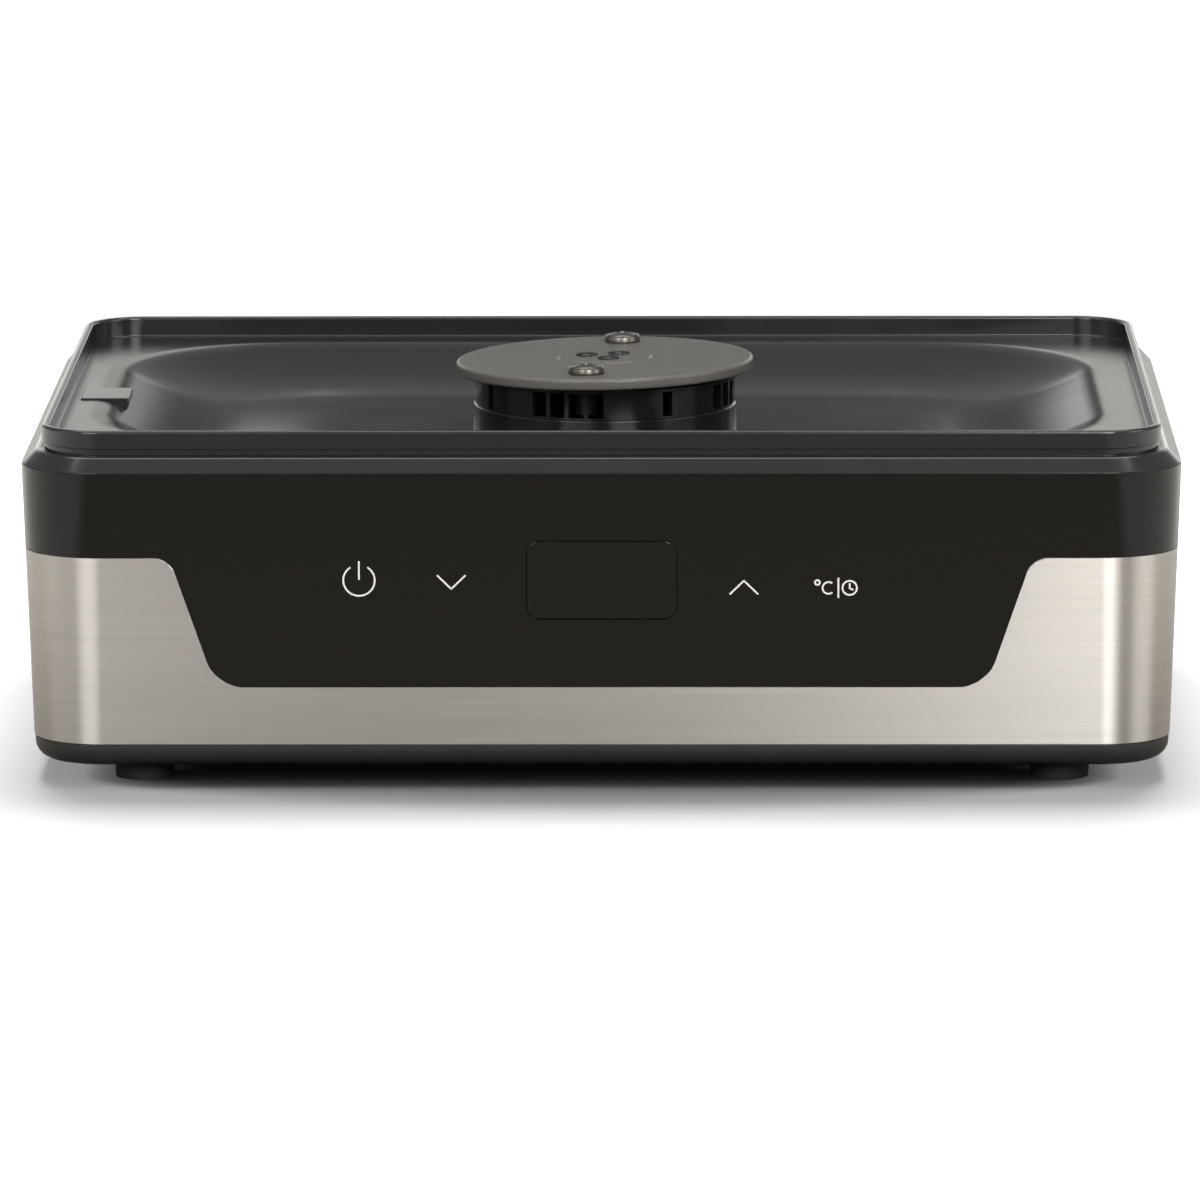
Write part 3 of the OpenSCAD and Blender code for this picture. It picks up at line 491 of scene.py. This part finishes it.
bm = bmesh.new()
low, flare = tongue_corners(steel_gap, steel_top)
corners = flat_outline(bm, [(-front_half, steel_top), (-front_half, steel_low),
                            (front_half, steel_low), (front_half, steel_top),
                            (flare[0], steel_top), (low[0], low[1]),
                            (-low[0], low[1]), (-flare[0], steel_top)])
round_corners(bm, [corners[4], corners[7]], flare[2], 10)
round_corners(bm, [v for v in bm.verts if abs(v.co.z - low[1]) < 0.01], low[2], 12)
wrap_round(bm, steel_low, steel_top, steel_t)
finish_mesh(bm, "steel_wrap", brushed_stainless, "base", ["steel_sleeve"],
            crease=40, bevel=0.28, segments=2)

# ---- Base plate ----
# Black polypropylene tray that closes the body from below. Its rim stands just inside the steel and
# turns under with a 5 mm round; the slots under the motor let the fan breathe.
frame_black = moulded("textured_polypropylene", "#21201f", "#282625", 0.38, 0.6, 0.012)


def refine(node, finish, body, bevel):
    """A copy of a CAD node's mesh, merged, with its edges eased and its curves shaded smooth."""
    bm = bmesh.new()
    bm.from_mesh(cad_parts[node].data)
    bmesh.ops.scale(bm, vec=(1000, 1000, 1000), verts=bm.verts)
    close_seams(bm, 0.004)
    bmesh.ops.dissolve_limit(bm, angle_limit=math.radians(1), verts=bm.verts, edges=bm.edges)
    finish_mesh(bm, node + "_eased", finish, body, [node], crease=32, bevel=bevel,
                segments=2)


refine("base_plate", frame_black, "base", bevel=0.25)

# ---- Feet ----
# Four turned-over EPDM rubber feet, moulded with a small round at the floor and a recess for the
# screw that pulls each one against the base plate.
foot_rubber = moulded("foot_rubber", "#131313", "#1c1b1b", 0.62, 0.8, 0.02)


def turn(bm, points, segments=64, closed=True):
    """Spins a section of (radius, height) a full turn about the Z axis."""
    verts, edges = section(bm, points, closed)
    bmesh.ops.spin(bm, geom=verts + edges, cent=(0, 0, 0), axis=(0, 0, 1), angle=math.tau,
                   steps=segments, use_merge=True)
    close_seams(bm)
    bmesh.ops.recalc_face_normals(bm, faces=bm.faces)


foot_r, foot_h, foot_x, foot_y = 8.9, 6, 134.7, 101
recess_r, recess_h, foot_hole_r = 4.8, 3, 2.1
for side_y, depth_name in ((-1, "front"), (1, "rear")):
    for side_x, width_name in ((-1, "left"), (1, "right")):
        bm = bmesh.new()
        turn(bm, [(recess_r, 0), (foot_r - 0.4, 0), (foot_r, foot_h), (foot_hole_r, foot_h),
                  (foot_hole_r, recess_h), (recess_r, recess_h)])
        round_rows(bm, {1: 0.4, 2: 0.9, 3: 0.2})
        bmesh.ops.translate(bm, verts=bm.verts, vec=(side_x * foot_x, side_y * foot_y, 0))
        node = f"foot_{depth_name}_{width_name}"
        finish_mesh(bm, node + "_pad", foot_rubber, "base", [node])

# ---- Air collar ----
# Plain round collar of glossy black polypropylene that rises from the dish and carries the vent
# ring; its flange is trapped under the deck by the fan duct.
tower_black = moulded("gloss_polypropylene", "#0f0e0d", "#141312", 0.14, 0.9, 0.002, IOR=1.38)
collar_in, collar_r, flange_r, collar_top = 37.35, 39.85, 44.5, 95.9
bm = bmesh.new()
turn(bm, [(collar_in, flange_z), (flange_r, flange_z), (flange_r, dish_floor - deck_t),
          (collar_r, dish_floor - deck_t), (collar_r, collar_top), (collar_in, collar_top)],
     segments=128)
round_rows(bm, {2: 0.3, 3: 0.3, 5: 0.5, 6: 0.5})
finish_mesh(bm, "collar_wall", tower_black, "base", ["air_collar"])

# ---- Vent ring ----
# Windowed ring of the same plastic; warm air leaves sideways through its four groups of windows. It
# spigots into the collar and takes the cap's two screws in bosses.
refine("vent_ring", tower_black, "base", bevel=0.15)

# ---- Tower cap ----
# Grey ABS disc with a finely eroded face and a low boss in the middle that carries a plain fan
# mark. Two screws hold it, and it leans one degree, right side up.
cap_r, cap_t, cap_z, cap_lean = 45, 3.5, 105.85, 1
boss_r, boss_h = 14, 0.5
cap_grey = moulded("eroded_grey_abs", "#484541", "#54514c", 0.4, 0.55, 0.02)
on_cap = Matrix.Translation((0, 0, cap_z)) @ Matrix.Rotation(math.radians(-cap_lean), 4, "Y")
bm = bmesh.new()
turn(bm, [(0, 0), (cap_r, 0), (cap_r, cap_t), (boss_r + 0.4, cap_t), (boss_r, cap_t + boss_h),
          (0, cap_t + boss_h)], segments=160, closed=False)
round_rows(bm, {2: 0.8, 3: 1.1, 4: 0.1, 5: 0.12})
bmesh.ops.transform(bm, matrix=on_cap, verts=bm.verts)
finish_mesh(bm, "tower_cap_disc", cap_grey, "base", ["tower_cap"])


def repeat(bm, points, places, radii, segments, round_segments):
    """Spins one section at each of the places (x, y, z) and adds them all to bm."""
    for place in places:
        one = bmesh.new()
        turn(one, points, segments=segments)
        round_rows(one, radii, round_segments)
        bmesh.ops.translate(one, verts=one.verts, vec=place)
        held = bpy.data.meshes.new("one")
        one.to_mesh(held)
        one.free()
        bm.from_mesh(held)
        bpy.data.meshes.remove(held)


# The fan mark's three petals stand a little proud and are drawn in the vent ring's black: painted
# shade, as dark as the shade in the mark's recesses
petal_out, petal_aside, petal_in_r, petal_r = 5.6, 1.2, 2.3, 3.4
petal_low, petal_high = 0.4, 0.85
petals = []
for angle in (math.radians(30 + 120 * petal) for petal in range(3)):
    petals.append((petal_out * math.cos(angle) - petal_aside * math.sin(angle),
                   petal_out * math.sin(angle) + petal_aside * math.cos(angle), cap_t))
bm = bmesh.new()
repeat(bm, [(petal_in_r, petal_low), (petal_r, petal_low), (petal_r, petal_high),
            (petal_in_r, petal_high)], petals, {3: 0.06, 4: 0.06}, 40, 2)
bmesh.ops.transform(bm, matrix=on_cap, verts=bm.verts)
finish_mesh(bm, "cap_mark", tower_black, "base")

# ---- Cup washers and cap screws ----
# Pressed finishing washers and cross-recessed oval-head screws, both bright nickel plated. The
# screws hold the cap down on the vent ring's bosses.
washer_section = [(1.7, 0), (5.4, 0), (5.5, 0.5), (5.3, 1.7), (4.9, 2.3), (4.4, 2.4), (4.1, 2.1),
                  (1.7, 0.6)]
washer_places = [(-5.1, -32.4, cap_t), (5.1, 32.4, cap_t)]


def metal(name, shade, lighter, roughness, stretch=(1, 1, 1), grain_mm=1.2, depth_mm=0.003):
    """Bare or plated metal: the tool's or the bath's marks vary its shine and tone a little."""
    made, tree, skin, place = start_finish(name, shade, roughness, Metallic=1.0)
    marks = grain(tree, place, grain_mm, stretch=stretch, detail=3, contrast=1.5)
    clouds = grain(tree, place, 3.5, contrast=1.6)
    vary(tree, skin, "Base Color", shade, lighter, marks)
    vary(tree, skin, "Roughness", roughness - 0.06, roughness + 0.06, clouds)
    emboss(tree, skin, marks, depth_mm)
    return made


nickel_plate = metal("nickel_plate", "#5a5752", "#6a6761", 0.33)
bm = bmesh.new()
repeat(bm, washer_section, washer_places, {3: 0.2, 4: 0.25, 5: 0.25, 6: 0.2, 7: 0.15}, 64, 3)
bmesh.ops.transform(bm, matrix=on_cap, verts=bm.verts)
finish_mesh(bm, "cup_washers", nickel_plate, "base", ["cap_washers"])
refine("cap_screws", nickel_plate, "base", bevel=0.08)

# ---- Cord gland ----
# Rubber grommet snapped into the back wall, where the mains lead enters; the lead itself is not
# part of this piece.
refine("cord_gland", foot_rubber, "base", bevel=0.3)

# ---- Inner frame, duct, heater, motor, boards ----
# Everything behind the walls keeps its CAD shape and gets the finish of the real part.
zinc_steel = metal("zinc_plated_steel", "#a3a7ab", "#b9bdc1", 0.3)
die_cast = metal("die_cast_zinc", "#8f9194", "#a0a2a5", 0.45, depth_mm=0.01)
ground_steel = metal("ground_steel", "#b4b5b6", "#c3c4c5", 0.18, stretch=(1, 1, 0.05), grain_mm=1)
spring_steel = metal("spring_steel", "#9a9b9c", "#adaeb0", 0.25)
nichrome = metal("nichrome_wire", "#6f6a63", "#857d72", 0.4, stretch=(1, 1, 0.2), grain_mm=0.8)
bronze = metal("sintered_bronze", "#8a6a3c", "#9d7c4a", 0.5, grain_mm=0.4, depth_mm=0.02)
sink_alloy = metal("extruded_aluminium", "#a9acb0", "#bcbfc3", 0.35, stretch=(1, 1, 30),
                   grain_mm=0.6)
nylon = moulded("natural_nylon", "#c9c1ac", "#d6cfbc", 0.4, 0.8, 0.01, Subsurface_Weight=0.05)
relay_blue = moulded("relay_case_blue", "#1f4584", "#254d8f", 0.35, 0.6, 0.01)
part_dark = moulded("epoxy_and_sleeve", "#17191e", "#20232a", 0.4, 0.5, 0.01)
part_green = moulded("terminal_polyamide", "#2f6f3f", "#37794a", 0.4, 0.6, 0.01)
display_white = moulded("display_case_white", "#d8d6cf", "#e3e1db", 0.45, 0.8, 0.008)
ribbon_pvc = moulded("ribbon_pvc", "#80838a", "#8d9097", 0.45, 1.2, 0.05)
lead_sheath = moulded("lead_sheath_pvc", "#7d3226", "#8c3a2c", 0.4, 1.5, 0.02)

# At scale 1 a wave texture repeats after this many millimetres
wave_mm = 1000 * math.tau / 20

# Laminated silicon steel stacked along Z, blued by the anneal. Its sheets are 0.5 mm thick and are
# drawn 3.1 mm apart so that they show.
electrical_steel, tree, skin, place = start_finish("electrical_steel", "#54585d", 0.42,
                                                   Metallic=1.0)
sheets = add(tree, "TexWave", {"Vector": place, "Scale": wave_mm / 3.1416, "Distortion": 0.3},
             bands_direction="Z").outputs["Fac"]
vary(tree, skin, "Base Color", "#3c4046", "#6d7176", sheets)
emboss(tree, skin, sheets, 0.05)

# Enamelled copper wire wound in level layers along X. It is 0.3 mm thick and is drawn with bands
# 3.8 mm apart so that they show.
enamelled_copper, tree, skin, place = start_finish("enamelled_copper", "#9a5326", 0.28,
                                                   Metallic=0.85, Coat_Weight=0.6)
turns = add(tree, "TexWave", {"Vector": place, "Scale": wave_mm / 3.7699, "Distortion": 0.6},
            bands_direction="X").outputs["Fac"]
vary(tree, skin, "Base Color", "#6e3415", "#b06a35", turns)
emboss(tree, skin, turns, 0.1)

# Mica sheet: pressed flakes a few millimetres across, silvery gold
pressed_mica, tree, skin, place = start_finish("pressed_mica", "#b09a72", 0.35, Coat_Weight=0.3)
flakes = add(tree, "TexVoronoi", {"Vector": place, "Scale": 1000 / 4}).outputs["Color"]
tones = add(tree, "RGBToBW", {"Color": flakes}).outputs[0]
vary(tree, skin, "Base Color", "#927b55", "#c9b48c", tones)
emboss(tree, skin, grain(tree, place, 2), 0.03)

# Glass-fibre board under green solder resist: the weave shows as a faint square grid
solder_resist, tree, skin, place = start_finish("solder_resist_green", "#174a2d", 0.3,
                                                Coat_Weight=0.3)
weave = add(tree, "TexChecker", {"Vector": place, "Scale": 1000 / 0.8}).outputs["Fac"]
vary(tree, skin, "Base Color", "#153f27", "#1d5835", grain(tree, place, 5, contrast=2))
emboss(tree, skin, weave, 0.01)

# Yellow polyester tape over the transformer's winding, 25 mm wide from lap to lap
winding_tape, tree, skin, place = start_finish("winding_tape", "#b99a2c", 0.3, Coat_Weight=0.2)
laps = add(tree, "TexWave", {"Vector": place, "Scale": wave_mm / 25.133, "Distortion": 0.4},
           bands_direction="X").outputs["Fac"]
vary(tree, skin, "Base Color", "#a5871f", "#c9ac3e", laps)
emboss(tree, skin, laps, 0.05)

# Drawn glass tube of the fuse, clear with a faint ripple
fuse_glass, tree, skin, place = start_finish("fuse_glass", "#e8eeee", 0.03,
                                             Transmission_Weight=0.9, IOR=1.5)
emboss(tree, skin, grain(tree, place, 4), 0.01)

finishes = {
    frame_black: ["inner_frame", "fan_duct"],
    zinc_steel: ["foot_screws", "body_screws", "duct_screws", "thermal_fuse", "thermostat",
                 "motor_screws", "motor_nuts", "motor_mount_screws", "board_screws",
                 "control_screws"],
    die_cast: ["motor_bracket_lower", "motor_bracket_upper"],
    bronze: ["bearing_lower", "bearing_upper"],
    ground_steel: ["fan_shaft"],
    spring_steel: ["impeller_clip", "touch_springs"],
    nichrome: ["heater_coil"],
    sink_alloy: ["heat_sink"],
    nylon: ["temperature_sensor", "motor_bobbin", "thrust_washers", "impeller"],
    foot_rubber: ["motor_grommets"],
    relay_blue: ["relay"],
    part_dark: ["capacitors", "triac", "buzzer"],
    part_green: ["terminal_block"],
    display_white: ["led_display"],
    ribbon_pvc: ["ribbon_cable"],
    lead_sheath: ["wiring_loom"],
    electrical_steel: ["motor_stator", "rotor_core"],
    enamelled_copper: ["motor_coil"],
    pressed_mica: ["heater_frame"],
    solder_resist: ["power_board", "control_board"],
    winding_tape: ["transformer"],
    fuse_glass: ["mains_fuse"],
}
for finish, nodes in finishes.items():
    for node in nodes:
        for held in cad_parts[node].material_slots:
            held.material = finish

# ---- Floor, light and camera ----
# A plain pale floor under a dim, even sky. Low down behind the piece the sky is darker in the
# middle and brighter at both sides, and the deck mirrors that: its two ends look the palest.
scene = bpy.context.scene
scene.view_settings.view_transform = "Standard"

bm = bmesh.new()
bmesh.ops.create_grid(bm, x_segments=2, y_segments=2, size=9)
floor_mesh = bpy.data.meshes.new("floor")
bm.to_mesh(floor_mesh)
bm.free()
floor = bpy.data.objects.new("floor", floor_mesh)
scene.collection.objects.link(floor)
paper = bpy.data.materials.new("paper")
paper.use_nodes = True
tree = paper.node_tree
tree.nodes.clear()
spot = add(tree, "TexCoord").outputs["Object"]

# The camera sees mid-grey paper near the piece that turns into an evenly lit sweep further off
distance = add(tree, "VectorMath", {0: spot}, operation="LENGTH").outputs["Value"]
far = add(tree, "MapRange", {"Value": distance, "From Min": 0.3, "From Max": 0.9},
          interpolation_type="SMOOTHSTEP").outputs[0]
near_paper = add(tree, "BsdfDiffuse", {"Color": linear("#9f9f9f")})
lit_sweep = add(tree, "Emission", {"Color": linear("#ffffff"), "Strength": 1.03})
bright = add(tree, "MixShader", {0: far, 1: near_paper.outputs[0], 2: lit_sweep.outputs[0]})

# The piece mirrors a darker paper, a little paler beyond its two ends
across = add(tree, "SeparateXYZ", {0: spot}).outputs["X"]
aside = add(tree, "Math", {0: across}, operation="ABSOLUTE").outputs[0]
beyond = add(tree, "MapRange", {"Value": aside, "From Min": 0.28, "From Max": 0.38},
             interpolation_type="SMOOTHSTEP").outputs[0]
tone = add(tree, "Mix", {"Factor": beyond, 6: linear("#635f5a"), 7: linear("#8b8985")},
           data_type="RGBA").outputs[2]
dim = add(tree, "BsdfDiffuse", {"Color": tone})

seen = add(tree, "LightPath").outputs["Is Camera Ray"]
mixed = add(tree, "MixShader", {0: seen, 1: dim.outputs[0], 2: bright.outputs[0]})
add(tree, "OutputMaterial", {"Surface": mixed.outputs[0]})
floor_mesh.materials.append(paper)

sky_level, sky_middle, sky_sides = 0.35, -0.3, 0.95
world = bpy.data.worlds.new("studio")
scene.world = world
world.use_nodes = True
tree = world.node_tree
tree.nodes.clear()
direction = add(tree, "SeparateXYZ", {0: add(tree, "TexCoord").outputs["Generated"]})
behind = add(tree, "MapRange", {"Value": direction.outputs["Y"], "From Min": 0.9,
                                "From Max": 0.975}, interpolation_type="SMOOTHSTEP")
lowness = add(tree, "MapRange", {"Value": direction.outputs["Z"], "From Min": 0.16,
                                 "From Max": 0.27, "To Min": 1.0, "To Max": 0.0},
              interpolation_type="SMOOTHSTEP")
patch = add(tree, "Math", {0: behind.outputs[0], 1: lowness.outputs[0]}, operation="MULTIPLY")
sideways = add(tree, "Math", {0: direction.outputs["X"]}, operation="ABSOLUTE")
wings = add(tree, "MapRange", {"Value": sideways.outputs[0], "From Min": 0.045,
                               "From Max": 0.12, "To Min": sky_middle, "To Max": sky_sides},
            interpolation_type="SMOOTHSTEP")
total = add(tree, "Math", {0: patch.outputs[0], 1: wings.outputs[0], 2: sky_level},
            operation="MULTIPLY_ADD")
sky = add(tree, "Background", {"Color": linear("#ffffff"), "Strength": total.outputs[0]})
add(tree, "OutputWorld", {"Surface": sky.outputs[0]})


def softbox(name, place, aim, w, h, power):
    """A rectangular soft light at place, facing aim; all in metres."""
    lamp = bpy.data.lights.new(name, "AREA")
    lamp.shape = "RECTANGLE"
    lamp.size, lamp.size_y = w, h
    lamp.energy = power
    held = bpy.data.objects.new(name, lamp)
    scene.collection.objects.link(held)
    held.location = place
    held.rotation_euler = (Vector(aim) - Vector(place)).to_track_quat("-Z", "Y").to_euler()
    return held


# These light everything but the paper: the steel mirrors the four at the front and sides, the deck
# the two small warm ones behind
middle, floor_middle = (0, 0, 0.05), (0, 0, 0)
boxes = [softbox("overhead", (0, 0.1, 1.3), middle, 1.5, 0.6, 11),
         softbox("right_front", (0.50, -1.5, 0.85), (0.05, 0, 0.05), 0.62, 1.0, 22),
         softbox("left_front", (-0.71, -1.41, 0.85), middle, 0.8, 1.0, 13.5),
         softbox("right_side", (1.45, -0.55, 0.6), middle, 0.9, 0.9, 6.5),
         softbox("left_side", (-1.3, -0.5, 0.6), middle, 1.2, 0.9, 2.6),
         softbox("back_right", (0.345, 0.75, 0.3), (0.1, -0.1, 0.1), 0.46, 0.3, 0.37),
         softbox("back_left", (-0.345, 0.75, 0.3), (-0.1, -0.1, 0.1), 0.46, 0.3, 0.28)]
for box in boxes[-2:]:
    box.data.color = linear("#fffcf5")[:3]
piece_lit = bpy.data.collections.new("piece_lit")
piece_lit.objects.link(floor)
piece_lit.collection_objects[0].light_linking.link_state = "EXCLUDE"
for box in boxes:
    box.light_linking.receiver_collection = piece_lit

# The paper alone is lit by one long lamp from above and behind, which lays a soft shadow in front,
# and by two low ones that clear it away at the sides
paper_lit = bpy.data.collections.new("paper_lit")
paper_lit.objects.link(floor)
for box in [softbox("broad", (0, 1.46, 3.0), floor_middle, 1.8, 2.1, 340),
            softbox("paper_left", (-1.6, 0.1, 0.5), floor_middle, 0.6, 0.6, 55),
            softbox("paper_right", (1.6, 0.1, 0.5), floor_middle, 0.6, 0.6, 55)]:
    box.light_linking.receiver_collection = paper_lit

# A long lens almost three metres away, turned a little and looking down at ten degrees
eye_place, eye_turn, lens_mm = (0.0332, -2.8766, 0.5362), (-0.694, 9.890, -0.142), 287.73
eye = bpy.data.cameras.new("eye")
eye.sensor_width, eye.sensor_height, eye.sensor_fit = 36, 36, "AUTO"
eye.lens = lens_mm
eye.clip_start, eye.clip_end = 0.1, 60
camera = bpy.data.objects.new("eye", eye)
scene.collection.objects.link(camera)
yaw, pitch, roll = (math.radians(angle) for angle in eye_turn)
ahead = Vector((math.sin(yaw) * math.cos(pitch), math.cos(yaw) * math.cos(pitch),
                -math.sin(pitch)))
level = Vector((math.cos(yaw), -math.sin(yaw), 0))
above = level.cross(ahead)
right = math.cos(roll) * level + math.sin(roll) * above
up = -math.sin(roll) * level + math.cos(roll) * above
facing = Matrix((right, up, -ahead)).transposed().to_4x4()
camera.matrix_world = Matrix.Translation(eye_place) @ facing
scene.camera = camera
